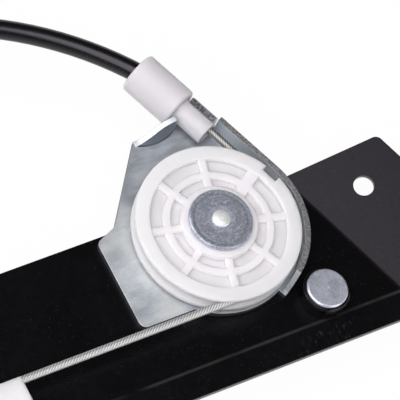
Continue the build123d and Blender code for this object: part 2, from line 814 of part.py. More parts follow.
arm_middle = (drum_cavity_radius + ear_circle) / 2
with BuildPart() as drum_housing:
    # cup, ears and nozzles
    with BuildSketch(Plane.XY.offset(housing_bottom)):
        with Locations(drum_place):
            Circle(housing_radius)
    extrude(amount=housing_top - housing_bottom)
    with BuildSketch(Plane.XY.offset(housing_bottom)):
        with Locations(drum_place):
            for angle in boss_angles:
                with PolarLocations(boss_circle, 1, angle):
                    Circle(boss_radius)
    extrude(amount=housing_top - housing_bottom)
    with BuildSketch(Plane.XY.offset(ear_bottom)):
        with Locations(drum_place):
            for angle in ear_angles:
                with PolarLocations(ear_circle, 1, angle):
                    Circle(ear_radius)
                with PolarLocations(arm_middle, 1, angle):
                    Rectangle(ear_circle - drum_cavity_radius, 2 * ear_radius)
    extrude(amount=ear_thickness)
    with BuildSketch(Plane.YZ.offset(drum_place[0])):
        with Locations((conduit_line, ferrule_height)):
            Circle(nozzle_radius)
    extrude(amount=nozzle_reach, both=True)
    # stiffening ribs round the cup
    with BuildSketch(Plane.XY.offset(housing_bottom)):
        with Locations(drum_place):
            with PolarLocations(housing_radius, housing_rib_count):
                Rectangle(2 * housing_rib_height, housing_rib_width)
    extrude(amount=housing_top - housing_bottom - housing_rib_height)
    # cavity, bearing bore, cable ways, ears' bores and screw pilots
    with BuildSketch(Plane.XY.offset(drum_bottom - stack_gap)):
        with Locations(drum_place):
            Circle(drum_cavity_radius)
    extrude(amount=housing_top - drum_bottom + stack_gap, mode=Mode.SUBTRACT)
    with BuildSketch(Plane.XY.offset(housing_bottom)):
        with Locations(drum_place):
            Circle(drum_journal_radius + running_clearance)
    extrude(amount=housing_floor, mode=Mode.SUBTRACT)
    with BuildSketch(Plane.YZ.offset(drum_place[0])):
        with Locations((conduit_line, ferrule_height)):
            Circle(neck_radius + running_clearance)
    extrude(amount=nozzle_reach, both=True, mode=Mode.SUBTRACT)
    with BuildSketch(Plane.XY.offset(ear_bottom)):
        with Locations(drum_place):
            for angle in ear_angles:
                with PolarLocations(ear_circle, 1, angle):
                    Circle(bush_neck_radius)
    extrude(amount=ear_thickness, mode=Mode.SUBTRACT)
    screw_pilots = (
        (housing_top, pilot_radius, -screw_depth - screw_room),
        (housing_bottom, motor_pilot_radius, motor_pilot_depth),
    )
    for level, radius, depth in screw_pilots:
        with BuildSketch(Plane.XY.offset(level)):
            with Locations(drum_place):
                for angle in boss_angles:
                    with PolarLocations(boss_circle, 1, angle):
                        Circle(radius)
        extrude(amount=depth, mode=Mode.SUBTRACT)
publish(drum_housing.part, "drum_housing")

with BuildPart() as drum_cover:
    with BuildSketch(Plane.XY.offset(housing_top)):
        with Locations(drum_place):
            Circle(housing_radius)
            for angle in boss_angles:
                with PolarLocations(boss_circle, 1, angle):
                    Circle(boss_radius)
    extrude(amount=cover_thickness)
    # raised collar round the drum's journal
    with BuildSketch(Plane.XY.offset(cover_top)):
        with Locations(drum_place):
            Circle(cover_collar_radius)
    extrude(amount=cover_collar_height)
    with BuildSketch(Plane.XY.offset(housing_top)):
        with Locations(drum_place):
            Circle(drum_journal_radius + running_clearance)
            for angle in boss_angles:
                with PolarLocations(boss_circle, 1, angle):
                    Circle(pilot_radius)
    extrude(amount=cover_thickness + cover_collar_height, mode=Mode.SUBTRACT)
publish(drum_cover.part, "drum_cover")

with BuildPart() as cover_screws:
    for angle in boss_angles:
        place = (
            drum_place[0] + boss_circle * cos(radians(angle)),
            drum_place[1] + boss_circle * sin(radians(angle)),
        )
        screw = (
            (0, housing_top - screw_depth),
            (pilot_radius, housing_top - screw_depth + pilot_radius),
            (pilot_radius, cover_top),
            (screw_head_radius, cover_top),
            *domed(screw_head_radius, cover_top, screw_head_height),
        )
        add(turned(screw, place))
publish(cover_screws.part, "cover_screws")

# rubber bushes clipped into the ears and steel sleeves through them
ear_top = ear_bottom + ear_thickness
ear_places = [
    (
        drum_place[0] + ear_circle * cos(radians(angle)),
        drum_place[1] + ear_circle * sin(radians(angle)),
    )
    for angle in ear_angles
]
with BuildPart() as mounting_bushes:
    for place in ear_places:
        bush = (
            (sleeve_radius, ear_bottom - bush_flange_thickness),
            (bush_flange_radius, ear_bottom - bush_flange_thickness),
            (bush_flange_radius, ear_bottom),
            (bush_neck_radius, ear_bottom),
            (bush_neck_radius, ear_top),
            (bush_flange_radius, ear_top),
            (bush_flange_radius, ear_top + bush_flange_thickness),
            (sleeve_radius, ear_top + bush_flange_thickness),
        )
        add(turned(bush, place))
publish(mounting_bushes.part, "mounting_bushes")

with BuildPart() as bush_sleeves:
    with BuildSketch(Plane.XY.offset(rest_level)):
        with Locations(*ear_places):
            Circle(sleeve_radius)
            Circle(sleeve_bore_radius, mode=Mode.SUBTRACT)
    extrude(amount=ear_top + bush_flange_thickness + stack_gap - rest_level)
publish(bush_sleeves.part, "bush_sleeves")

# ---------------------------------------------------------------- carriage

lip_grip = tan(radians(lip_angle))
with BuildPart() as slider_shoe:
    with BuildSketch(Plane.YZ.offset(shoe_back)):
        with BuildLine():
            Polyline(
                (shoe_upper_side, slide_clearance),
                (shoe_upper_side, shoe_top),
                (shoe_outer_side, shoe_top),
                (shoe_outer_side, shoe_bottom),
                (-jaw_reach, shoe_bottom),
                (-jaw_reach, -rail_sheet - slide_clearance - (jaw_reach - rail_fold) * lip_grip),
                (lip_tip_y - slide_clearance, lip_tip_z - rail_sheet - slide_clearance),
                (lip_tip_y - slide_clearance, lip_tip_z + slide_clearance),
                (-rail_fold, slide_clearance),
                close=True,
            )
        make_face()
        fillet(vertices().group_by(Axis.Y)[-1], shoe_corner_radius)
    extrude(amount=shoe_length)
    # cable channel, open towards the pulleys' side, and the nipple's pocket
    with BuildSketch(Plane.YZ.offset(shoe_back)):
        with Locations((cable_side, cable_height)):
            Circle(cable_radius + cable_clearance)
    extrude(amount=shoe_length, mode=Mode.SUBTRACT)
    with BuildSketch(Plane.YZ.offset(nipple_x - nipple_length / 2 - stack_gap)):
        with Locations((cable_side, cable_height)):
            Circle(nipple_radius + running_clearance)
    extrude(amount=nipple_length + 2 * stack_gap, mode=Mode.SUBTRACT)
    with BuildSketch(Plane.XY.offset(shoe_top)):
        with Locations(*[(x, shoe_rivet_side) for x in shoe_rivet_x]):
            Circle(rivet_radius)
    extrude(amount=-rivet_depth, mode=Mode.SUBTRACT)
publish(slider_shoe.part, "slider_shoe")

with BuildPart() as cable_nipple:
    with BuildSketch(Plane.YZ.offset(nipple_x - nipple_length / 2)):
        with Locations((cable_side, cable_height)):
            Circle(nipple_radius)
            Circle(cable_radius + running_clearance, mode=Mode.SUBTRACT)
    extrude(amount=nipple_length)
publish(cable_nipple.part, "cable_nipple")

# lift plate: a strap dished down onto the shoe, with a raised wing each side for the glass
wing_bottom = plate_wing_height - plate_sheet
(upper_knee_high, upper_knee_low), (outer_knee_low, outer_knee_high) = plate_knees
with BuildPart() as lift_plate:
    with BuildSketch(Plane.YZ.offset(plate_back)):
        with BuildLine():
            FilletPolyline(
                (plate_upper_side, wing_bottom),
                (upper_knee_high, wing_bottom),
                (upper_knee_low, plate_bottom),
                (outer_knee_low, plate_bottom),
                (outer_knee_high, wing_bottom),
                (plate_outer_side, wing_bottom),
                radius=plate_bend_radius,
            )
            offset(amount=plate_sheet, side=Side.RIGHT)
        make_face()
    extrude(amount=plate_front - plate_back)
    ends = lift_plate.faces().filter_by(Axis.Y)
    for end in (ends.sort_by(Axis.Y)[0], ends.sort_by(Axis.Y)[-1]):
        fillet(end.edges().filter_by(Axis.Z), plate_corner_radius)
    with BuildSketch(Plane.XY.offset(plate_wing_height)):
        with Locations(*[(glass_hole_x, side) for side in glass_hole_sides]):
            Circle(bush_outer_radius)
        with Locations(((plate_front + plate_back) / 2, (outer_knee_high + glass_hole_sides[0]) / 2)):
            RectangleRounded(*window_size, window_size[1] / 4)
    extrude(amount=-plate_sheet, mode=Mode.SUBTRACT)
    with BuildSketch(Plane.XY.offset(plate_bottom)):
        with Locations(*[(x, shoe_rivet_side) for x in shoe_rivet_x]):
            Circle(rivet_radius)
        with Locations(guide_rivet_place):
            Circle(rivet_radius)
    extrude(amount=plate_wing_height, mode=Mode.SUBTRACT)
publish(lift_plate.part, "lift_plate")

# small shoe that steadies the raised wing on the rail's plain edge
guide_inner, guide_outer = guide_sides
with BuildPart() as edge_guide:
    with BuildSketch(Plane.YZ.offset(guide_back)):
        with BuildLine():
            Polyline(
                (guide_inner, slide_clearance),
                (guide_inner, wing_bottom),
                (guide_outer, wing_bottom),
                (guide_outer, guide_bottom),
                (guide_inner, guide_bottom),
                (guide_inner, -rail_sheet - slide_clearance),
                (rail_upper_edge + slide_clearance, -rail_sheet - slide_clearance),
                (rail_upper_edge + slide_clearance, slide_clearance),
                close=True,
            )
        make_face()
    extrude(amount=guide_front - guide_back)
    with BuildSketch(Plane.XY.offset(wing_bottom)):
        with Locations(guide_rivet_place):
            Circle(rivet_radius)
    extrude(amount=-rivet_depth, mode=Mode.SUBTRACT)
publish(edge_guide.part, "edge_guide")

rivet_head_radius, rivet_head_height = rivet_head
rivet_seats = [((x, shoe_rivet_side), plate_bottom + plate_sheet) for x in shoe_rivet_x]
rivet_seats.append((guide_rivet_place, plate_wing_height))
with BuildPart() as carrier_rivets:
    for place, seat in rivet_seats:
        rivet = (
            (0, seat - plate_sheet - rivet_depth),
            (rivet_radius, seat - plate_sheet - rivet_depth),
            (rivet_radius, seat),
            (rivet_head_radius, seat),
            *domed(rivet_head_radius, seat, rivet_head_height),
        )
        add(turned(rivet, place))
publish(carrier_rivets.part, "carrier_rivets")

# nylon bushes and rubber pads for the glass screws
glass_places = [(glass_hole_x, side) for side in glass_hole_sides]
glass_flange_radius, glass_flange_thickness = glass_bush_flange
pad_top = plate_wing_height + glass_pad_thickness
with BuildPart() as glass_bushes:
    for place in glass_places:
        bush = (
            (glass_bush_bore_radius, wing_bottom - glass_flange_thickness),
            (glass_flange_radius, wing_bottom - glass_flange_thickness),
            (glass_flange_radius, wing_bottom),
            (bush_outer_radius, wing_bottom),
            (bush_outer_radius, pad_top),
            (glass_bush_bore_radius, pad_top),
        )
        add(turned(bush, place))
publish(glass_bushes.part, "glass_bushes")

with BuildPart() as glass_pads:
    with BuildSketch(Plane.XY.offset(plate_wing_height)):
        with Locations(*glass_places):
            Circle(glass_pad_radius)
            Circle(bush_outer_radius, mode=Mode.SUBTRACT)
    extrude(amount=glass_pad_thickness)
publish(glass_pads.part, "glass_pads")
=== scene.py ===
"""Finishes a cable window regulator and sets it on a plain studio floor."""

import json
import math

import bpy
from mathutils import Matrix, Vector


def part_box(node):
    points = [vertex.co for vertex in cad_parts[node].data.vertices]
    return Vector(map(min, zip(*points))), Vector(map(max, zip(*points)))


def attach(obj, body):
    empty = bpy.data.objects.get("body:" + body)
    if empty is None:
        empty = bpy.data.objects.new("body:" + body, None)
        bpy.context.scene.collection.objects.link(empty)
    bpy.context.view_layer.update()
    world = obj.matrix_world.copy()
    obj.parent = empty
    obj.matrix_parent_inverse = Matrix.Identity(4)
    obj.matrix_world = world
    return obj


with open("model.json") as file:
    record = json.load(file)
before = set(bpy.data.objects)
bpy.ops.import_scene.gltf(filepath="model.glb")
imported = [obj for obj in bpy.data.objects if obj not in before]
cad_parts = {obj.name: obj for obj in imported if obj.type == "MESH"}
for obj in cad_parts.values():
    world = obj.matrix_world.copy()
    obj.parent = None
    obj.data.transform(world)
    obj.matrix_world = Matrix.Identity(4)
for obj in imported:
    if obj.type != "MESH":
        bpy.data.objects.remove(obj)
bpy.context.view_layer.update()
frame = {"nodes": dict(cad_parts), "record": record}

bl_info = {
    "name": "Window regulator finish",
    "version": (1, 0, 0),
    "blender": (4, 5, 0),
    "location": "3D View > Sidebar > Regulator",
    "description": "Gives each part of a cable window regulator its finish and sets the stage",
    "category": "Object",
}

MM = 0.001
MOUNTS = {mount["name"]: mount for mount in frame["record"]["mounts"]}


def middle(node):
    """Centre of a node's box."""
    low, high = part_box(node)
    return (Vector(low) + Vector(high)) / 2


def mount_place(name):
    """Where a mount lies on the regulator."""
    return Vector(MOUNTS[name]["pos_m"])


# The rail's two ends mirror each other about its middle.
UPPER_AXLE = middle("upper_axle_washer")
LOWER_AXLE = middle("lower_axle_washer")
RAIL_MIDDLE = (UPPER_AXLE.x + LOWER_AXLE.x) / 2
AXLE_REACH = (UPPER_AXLE.x - LOWER_AXLE.x) / 2
UPPER_STUD = mount_place("upper_stud")
STUD_REACH = UPPER_STUD.x - RAIL_MIDDLE
# The fold between the rail's web and its lip.
RAIL_FOLD = UPPER_AXLE.y - 28.85 * MM

# Levels on the rail's outer face: just over the bracket's plate, just under the end of the
# finger that folds over a ferrule's neck, and the floor of a pulley's pockets.
RAIL_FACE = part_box("upper_pulley_bracket")[0][2]
BRACKET_PLATE = RAIL_FACE + 2.2 * MM
FINGER_TIP = BRACKET_PLATE + 5.7 * MM
POCKET_FLOOR = RAIL_FACE + 6.5 * MM

# Turned and stamped faces: radii, and the spacing of the rings that a tool left.
WASHER_RADIUS = 7.6 * MM
WASHER_GROOVE = (6.35 * MM, 6.6 * MM)
WASHER_COLLAR = (2.3 * MM, 3.1 * MM)
RIVET_RINGS = 0.42 * MM
STUD_RIM = (4.55 * MM, 4.75 * MM)
STUD_RINGS = 0.62 * MM

# Rolled threads of the fixing studs: levels of their ends, and steps in a turn.
THREAD_START = 0.6 * MM
THREAD_END = 10.6 * MM
THREAD_STEPS = 36

# The lift cable, and where it runs from a pulley into its ferrule: the run leans away from
# square across the rail, and passes the pulley's axis at a distance.
ROPE_RADIUS = 0.9 * MM
ROPE_STRANDS = 7.0
FERRULE_SKEW = math.radians(22.1)
FERRULE_OFFSET = 18.0 * MM

# Three screws hold the drum's cover, on a circle of this radius, by recesses with six lobes.
DRUM_AXIS = mount_place("motor_screws")
BOSS_CIRCLE = MOUNTS["motor_screws"]["dims"]["pcd_mm"] * MM / 2
FIRST_BOSS = math.radians(30)
RECESS_RADIUS = 1.35 * MM
RECESS_LOBES = 6.0
LOBE_HEIGHT = 0.22 * MM

# Soft square lamps: the way to each from the upper pulley, how far off it hangs and how wide
# it is in metres, and its power in watts.
LAMPS = (
    ("overhead_softbox", (-0.40, -0.07, 0.91), 1.8, 2.0, 41.0),
    ("left_softbox", (-0.80, 0.45, 0.40), 1.5, 0.8, 5.0),
    ("right_softbox", (0.30, -0.86, 0.40), 1.5, 0.8, 3.5),
)

# The floor's half width in metres, and its gap under the regulator.
FLOOR_HALF = 6.0
FLOOR_DROP = 0.05 * MM

# The camera's own axes, and its stand from the upper pulley's axis at the rail's face.
CAMERA_RIGHT = Vector((0.8584, -0.45053, 0.24532))
CAMERA_UP = Vector((0.31302, 0.83887, 0.44532))
CAMERA_BACK = Vector((-0.40642, -0.30547, 0.86111))
CAMERA_STAND = Vector((-398.11, -291.16, 847.94)) * MM
# In millimetres, as a lens is sold.
SENSOR_WIDTH = 36.0
FOCAL_LENGTH = 378.0

WHITE = (1, 1, 1, 1)
BLACK = (0, 0, 0, 1)


# ---------------------------------------------------------------- shader sums


class Wire:
    """A value flowing between nodes. Arithmetic on it adds Math nodes."""

    def __init__(self, bench, socket):
        self.bench = bench
        self.socket = socket

    def worked(self, operation, first, second=0.0):
        """What a Math node makes of two values."""
        return self.bench.add("ShaderNodeMath", {"operation": operation}, {0: first, 1: second})

    def __add__(self, other):
        return self.worked("ADD", self, other)

    def __sub__(self, other):
        return self.worked("SUBTRACT", self, other)

    def __rsub__(self, other):
        return self.worked("SUBTRACT", other, self)

    def __mul__(self, other):
        return self.worked("MULTIPLY", self, other)

    def __pow__(self, other):
        return self.worked("POWER", self, other)

    def __rpow__(self, other):
        return self.worked("POWER", other, self)

    def __abs__(self):
        return self.worked("ABSOLUTE", self)

    __radd__ = __add__
    __rmul__ = __mul__


class NodeBench:
    """A node tree being wired."""

    def __init__(self, tree):
        self.tree = tree
        tree.nodes.clear()

    def node(self, kind, settings, values):
        """Any node: its settings go first, then a value or a link into each named socket."""
        node = self.tree.nodes.new(kind)
        for name, value in settings.items():
            setattr(node, name, value)
        self.fill(node, values)
        return node

    def fill(self, node, values):
        """Put a value or a link into each named socket of a node."""
        for name, value in values.items():
            if isinstance(value, Wire):
                self.tree.links.new(value.socket, node.inputs[name])
            else:
                node.inputs[name].default_value = value

    def add(self, kind, settings, values, out=0):
        """The wire that leaves a new node by one of its outputs."""
        return Wire(self, self.node(kind, settings, values).outputs[out])

    def step(self, value, low, high):
        """0 up to low, 1 from high."""
        return self.add(
            "ShaderNodeMapRange",
            {"interpolation_type": "SMOOTHSTEP"},
            {0: value, 1: low, 2: high, 3: 0.0, 4: 1.0},
        )

    def height(self, vector):
        """The upward share of a vector."""
        return self.add("ShaderNodeSeparateXYZ", {}, {0: vector}, "Z")

    def ray(self, kind):
        """1 for a ray of this kind."""
        return self.add("ShaderNodeLightPath", {}, {}, f"Is {kind} Ray")


class Finish(NodeBench):
    """A material being mixed: one Principled shader and the patterns that feed it."""

    def __init__(self, name, **sockets):
        self.material = bpy.data.materials.new(name)
        self.material.use_nodes = True
        super().__init__(self.material.node_tree)
        self.shader = self.node("ShaderNodeBsdfPrincipled", {}, {})
        self.lit = Wire(self, self.shader.outputs[0])
        self.output = self.node("ShaderNodeOutputMaterial", {}, {"Surface": self.lit})
        self.feed(**sockets)
        self.place = self.add("ShaderNodeTexCoord", {}, {}, "Object")
        apart = self.node("ShaderNodeSeparateXYZ", {}, {0: self.place})
        self.x, self.y, self.z = (Wire(self, axis) for axis in apart.outputs)

    def feed(self, **sockets):
        """Give values or patterns to the shader's own sockets."""
        self.fill(self.shader, {name.replace("_", " "): value for name, value in sockets.items()})

    def cloud(self, size, detail=2.0, stretch=None):
        """Cloudy pattern from 0 to 1 with features about size across."""
        where = self.place
        if stretch is not None:
            where = self.add(
                "ShaderNodeVectorMath", {"operation": "MULTIPLY"}, {0: self.place, 1: stretch}
            )
        return self.add(
            "ShaderNodeTexNoise", {}, {"Vector": where, "Scale": 1 / size, "Detail": detail}
        )

    def grains(self, size):
        """Grains about size across, 0 at the middle of each."""
        return self.add(
            "ShaderNodeTexVoronoi", {}, {"Vector": self.place, "Scale": 1 / size}, "Distance"
        )

    def band(self, value, low, high, soft):
        """1 between low and high, fading to 0 over soft."""
        return self.step(value, low - soft, low) * (1 - self.step(value, high, high + soft))

    def sine(self, value):
        """Sine of an angle in radians."""
        return self.add("ShaderNodeMath", {"operation": "SINE"}, {0: value})

    def cosine(self, value):
        """Cosine of an angle in radians."""
        return self.add("ShaderNodeMath", {"operation": "COSINE"}, {0: value})

    def turn(self, across, up):
        """Angle of a point about an axis, in radians."""
        return self.add("ShaderNodeMath", {"operation": "ARCTAN2"}, {0: up, 1: across})

    def folded(self, angle, span):
        """An angle brought back to within half a span of 0."""
        return self.add(
            "ShaderNodeMath", {"operation": "WRAP"}, {0: angle, 1: span / 2, 2: -span / 2}
        )

    def upward(self):
        """1 on a face that looks up, 0 on an upright one."""
        return self.height(self.add("ShaderNodeNewGeometry", {}, {}, "True Normal"))

    def tint(self, share, low, high):
        """Colour between low and high."""
        return self.add(
            "ShaderNodeMix",
            {"data_type": "RGBA", "clamp_factor": True},
            {0: share, 6: low, 7: high},
            2,
        )

    def beyond_axle(self):
        """How far a place lies past the nearer pulley's axis, away from the rail's middle."""
        return abs(self.x - RAIL_MIDDLE) - AXLE_REACH

    def about(self, centre, reach=None):
        """Distance from an upright axis, or from the nearer of two that mirror along the rail."""
        across = self.x - centre.x
        if reach is not None:
            across = abs(self.x - RAIL_MIDDLE) - reach
        return (across**2 + (self.y - centre.y) ** 2) ** 0.5

    def relief(self, height, depth, rounding=0.0):
        """Raise the surface by a pattern, over edges that look rounded to a radius."""
        sockets = {"Height": height, "Distance": depth, "Strength": 1.0}
        if rounding:
            sockets["Normal"] = self.add("ShaderNodeBevel", {"samples": 6}, {"Radius": rounding})
        self.feed(Normal=self.add("ShaderNodeBump", {}, sockets))


def rgba(colour, share=1.0):
    """A colour at a share of its brightness."""
    return (colour[0] * share, colour[1] * share, colour[2] * share, 1.0)


def coat(finish, *nodes):
    """Give a finish to CAD nodes or pieces."""
    for node in nodes:
        piece = frame["nodes"][node] if isinstance(node, str) else node
        if not piece.material_slots:
            piece.data.materials.append(finish.material)
        for holder in piece.material_slots:
            holder.material = finish.material


def mesh_piece(name, points, faces, body):
    """A new smooth mesh piece that rides on a body."""
    mesh = bpy.data.meshes.new(name)
    mesh.from_pydata(points, [], faces)
    mesh.update()
    for face in mesh.polygons:
        face.use_smooth = True
    piece = bpy.data.objects.new(name, mesh)
    bpy.context.scene.collection.objects.link(piece)
    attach(piece, body)
    return piece


# ---------------------------------------------------------------- finishes


def zinc_plating(name, colour, mottle, roughness, rounding, pressed=False):
    """Bright zinc on steel, bluish where it is dull. A pressed bracket also gets its marks, and
    painted light and shade.
    """
    finish = Finish(name, Metallic=1.0)
    clouds = finish.cloud(8 * MM, 4.0)
    fine = finish.cloud(0.4 * MM, 2.0)
    drawn = finish.cloud(1.6 * MM, 3.0, (0.4, 1.0, 1.0))
    bluish = (colour[0] * 0.97, colour[1], colour[2] * 1.08)
    warmer = (colour[0] * 1.04, colour[1], colour[2] * 0.93)
    shade = finish.step(clouds * 0.5 + drawn * 0.3 + fine * 0.2, 0.34, 0.66)
    plated = finish.tint(shade, rgba(bluish, 1 - mottle), rgba(colour, 1 + mottle))
    warmth = finish.step(finish.cloud(14 * MM, 2.0), 0.42, 0.62) * 0.5
    plated = finish.tint(warmth, plated, rgba(warmer))
    dull = (clouds - 0.5) * 0.3 + (fine - 0.5) * 0.16 + roughness
    if pressed:
        plated, sheared = press_marks_and_painted_light(finish, colour, bluish, plated, clouds, drawn)
        dull = dull + sheared * 0.2
    finish.feed(Base_Color=plated, Roughness=dull)
    finish.relief(fine * 0.5 + drawn * 0.5, 0.025 * MM, rounding)
    return finish


def press_marks_and_painted_light(finish, colour, bluish, plated, clouds, drawn):
    """A pulley bracket's colour with what the press left on it and where its edges are bare, with
    painted light and shade on its plate, sides, flange and finger tip.
    """
    upward = finish.upward()

    # painted shade: the plate is darker and patchy towards the flange and the guard wall
    shaded = finish.step(finish.y, UPPER_AXLE.y + 2 * MM, UPPER_AXLE.y + 20 * MM) * 0.65
    shaded = shaded * finish.step(upward, 0.7, 0.9)
    patches = finish.step(clouds * 0.5 + drawn * 0.5, 0.38, 0.62)
    painted_shade_tone = finish.tint(patches, rgba(bluish, 0.5), rgba(bluish, 0.76))
    plated = finish.tint(shaded, plated, painted_shade_tone)

    # painted shade on the upright faces round the plate, and painted light on the upright faces
    # above it
    raised = finish.step(finish.z, BRACKET_PLATE, BRACKET_PLATE + 0.6 * MM)
    upright = 1 - finish.step(upward, 0.1, 0.5)
    side = finish.tint(raised, (0.16, 0.16, 0.17, 1), rgba(colour, 1.35))
    plated = finish.tint(upright, plated, side)

    # painted shade in the curved flange's hollow, and a painted highlight along its rim
    inner = 1 - finish.step(finish.beyond_axle(), 3 * MM, 4 * MM)
    flange = inner * finish.step(finish.y, UPPER_AXLE.y + 10 * MM, UPPER_AXLE.y + 11 * MM)
    rim = finish.step(upward, 0.45, 0.65) * (finish.step(drawn, 0.3, 0.6) * 0.35 + 0.65)
    painted_flange_light = finish.tint(rim, rgba(bluish, 0.68), rgba(colour, 1.3))
    plated = finish.tint(flange * raised, plated, painted_flange_light)

    # the upturned edges are sheared steel; the finger's tip is darkest, sheared steel with
    # painted shade of the gap behind it
    cut = finish.step(finish.z, BRACKET_PLATE, BRACKET_PLATE + 0.5 * MM)
    cut = cut * finish.step(upward, 0.5, 0.7) * (1 - flange)
    tip = finish.step(finish.z, FINGER_TIP, FINGER_TIP + 0.15 * MM)
    sheared = cut * (1 - tip) + tip
    grit = finish.step(finish.cloud(0.55 * MM, 3.0), 0.3, 0.7)
    torn = finish.tint(tip, (0.19, 0.19, 0.20, 1), (0.05, 0.05, 0.055, 1))
    smooth = finish.tint(tip, (0.40, 0.40, 0.41, 1), (0.27, 0.27, 0.28, 1))
    return finish.tint(sheared, plated, finish.tint(grit, torn, smooth)), sheared


def natural_nylon(name, colour, roughness, rounding, web=None):
    """Moulded nylon that lets some light in. Over a thin web, it gets painted shade on the
    pockets' floor and a painted glow on its rib walls.
    """
    finish = Finish(
        name,
        Subsurface_Weight=1.0,
        Subsurface_Radius=(1.0, 1.0, 1.0),
        Subsurface_Scale=2.5 * MM,
        Specular_IOR_Level=0.35,
        Emission_Strength=0.0 if web is None else 1.0,
    )
    flow = finish.cloud(12 * MM, 2.0)
    skin = finish.cloud(0.5 * MM, 2.0)
    shade = finish.step(flow, 0.3, 0.7) * 0.15 + 0.85
    if web is not None:
        # painted shade: darker on the pockets' floor, over the thin web
        shade = shade * (finish.step(finish.z, web + 0.2 * MM, web + 1.1 * MM) * 0.8 + 0.2)
        # painted glow: the rib walls emit, standing in for light that comes through the ribs from
        # their other side
        wall = 1 - finish.step(abs(finish.upward()), 0.25, 0.6)
        wall = wall * finish.step(finish.z, web - 0.4 * MM, web + 0.1 * MM)
        finish.feed(Emission_Color=finish.tint(wall, BLACK, rgba(colour, 0.10)))
    greyer = [0.6 * colour[1] + 0.4 * share for share in colour]
    finish.feed(
        Base_Color=finish.tint(shade, rgba(greyer, 0.83), rgba(colour)),
        Roughness=(skin - 0.5) * 0.12 + roughness,
    )
    finish.relief(skin * 0.5 + flow * 0.5, 0.02 * MM, rounding)
    return finish


def moulded_black(name, colour, roughness, grain, depth, rounding):
    """Dark moulded plastic or rubber with a fine texture and some dust."""
    finish = Finish(name, Specular_IOR_Level=0.4)
    skin = finish.cloud(grain, 3.0)
    dust = finish.step(finish.cloud(0.7 * MM, 4.0), 0.66, 0.8)
    flow = finish.cloud(8 * MM, 2.0)
    finish.feed(
        Base_Color=finish.tint(dust * 0.35 + flow * 0.3, rgba(colour), rgba(colour, 2.6)),
        Roughness=(skin - 0.5) * 0.2 + (flow - 0.5) * 0.1 + roughness,
    )
    finish.relief(skin, depth, rounding)
    return finish


# ---------------------------------------------------------------- what a user may change


class RegulatorFinish(bpy.types.PropertyGroup):
    paint: bpy.props.FloatVectorProperty(
        name="Rail paint", description="Colour of the rail's black coat",
        subtype="COLOR", size=3, min=0, max=1, default=(0.0012, 0.0011, 0.0013),
    )
    zinc: bpy.props.FloatVectorProperty(
        name="Zinc plating", description="Colour of the plated brackets and plates",
        subtype="COLOR", size=3, min=0, max=1, default=(0.64, 0.665, 0.69),
    )
    washer: bpy.props.FloatVectorProperty(
        name="Washer plating", description="Colour of the dull washers",
        subtype="COLOR", size=3, min=0, max=1, default=(0.53, 0.555, 0.645),
    )
    stud: bpy.props.FloatVectorProperty(
        name="Stud plating", description="Colour of the turned studs",
        subtype="COLOR", size=3, min=0, max=1, default=(0.60, 0.62, 0.71),
    )
    nylon: bpy.props.FloatVectorProperty(
        name="Nylon", description="Colour of pulleys, ferrules and shoe",
        subtype="COLOR", size=3, min=0, max=1, default=(0.91, 0.87, 0.915),
    )
    casing: bpy.props.FloatVectorProperty(
        name="Conduit casing", description="Colour of the extruded casing",
        subtype="COLOR", size=3, min=0, max=1, default=(0.0030, 0.0027, 0.0036),
    )
    edge_break: bpy.props.FloatProperty(
        name="Edge break", description="Rounding of pressed and cut edges",
        unit="LENGTH", min=0, default=0.22 * MM,
    )
    strand_spacing: bpy.props.FloatProperty(
        name="Strand spacing", description="Distance between the rope's strands along it",
        unit="LENGTH", min=0.1 * MM, default=0.8 * MM,
    )
    thread_pitch: bpy.props.FloatProperty(
        name="Thread pitch", description="Pitch of the fixing studs' threads",
        unit="LENGTH", min=0.2 * MM, default=1.0 * MM,
    )
    floor: bpy.props.FloatVectorProperty(
        name="Floor", description="Colour of the studio floor",
        subtype="COLOR", size=3, min=0, max=1, default=(0.9, 0.9, 0.9),
    )


# ---------------------------------------------------------------- rail and brackets


class REGULATOR_OT_rail(bpy.types.Operator):
    """Coat the guide rail and the studs' collars in semi-gloss black"""

    bl_idname = "regulator.rail"
    bl_label = "Guide rail"
    bl_options = {"REGISTER", "UNDO"}

    def execute(self, context):
        sizes = context.scene.regulator_finish
        finish = Finish(
            "rail_paint", Specular_IOR_Level=0.27, Specular_Tint=(0.94, 0.86, 1.0, 1.0)
        )
        lip = Vector(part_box("guide_rail")[0])
        peel = finish.cloud(1.6 * MM, 2.0)
        clouds = finish.cloud(22 * MM, 2.0)
        # dust and pinholes in the coat
        specks = (1 - finish.step(finish.grains(1.1 * MM), 0.08, 0.24)) * finish.step(
            finish.cloud(5 * MM, 3.0), 0.42, 0.66
        )
        # rubbed marks beside the upper stud, along the lip
        scratch = finish.cloud(0.7 * MM, 4.0, (1.0, 0.45, 1.0))
        scuffs = (
            finish.step(scratch, 0.54, 0.74)
            * finish.band(finish.x, UPPER_STUD.x - 9 * MM, UPPER_STUD.x + 2 * MM, 5 * MM)
            * finish.band(finish.y, lip.y, UPPER_STUD.y - 8 * MM, 2 * MM)
        )
        # the coat is thin along the lip's cut edge, bare steel with a painted highlight on it,
        # and a painted highlight runs along its fold
        cut_edge = 1 - finish.step(finish.y, lip.y + 0.20 * MM, lip.y + 0.40 * MM)
        cut_face = 1 - finish.step(finish.z, lip.z + 1.1 * MM, lip.z + 1.3 * MM)
        bare = cut_edge * (1 - cut_face * 0.85)
        fold = finish.band(finish.y, RAIL_FOLD, RAIL_FOLD + 0.2 * MM, 0.45 * MM)
        fold_highlight = fold * finish.step(finish.cloud(4 * MM, 3.0, (0.3, 1.0, 1.0)), 0.25, 0.6)
        light = specks * 0.035 + scuffs * 0.028 + bare * 0.5 + fold_highlight * 0.075 + clouds * 0.003
        finish.feed(
            Base_Color=finish.tint(light, rgba(sizes.paint), (0.34, 0.33, 0.33, 1.0)),
            Roughness=(peel - 0.5) * 0.10 + (clouds - 0.5) * 0.10 + scuffs * 0.2 + 0.27,
        )
        finish.relief(peel, 0.010 * MM, sizes.edge_break)
        coat(finish, "guide_rail", "stud_collars")
        return {"FINISHED"}


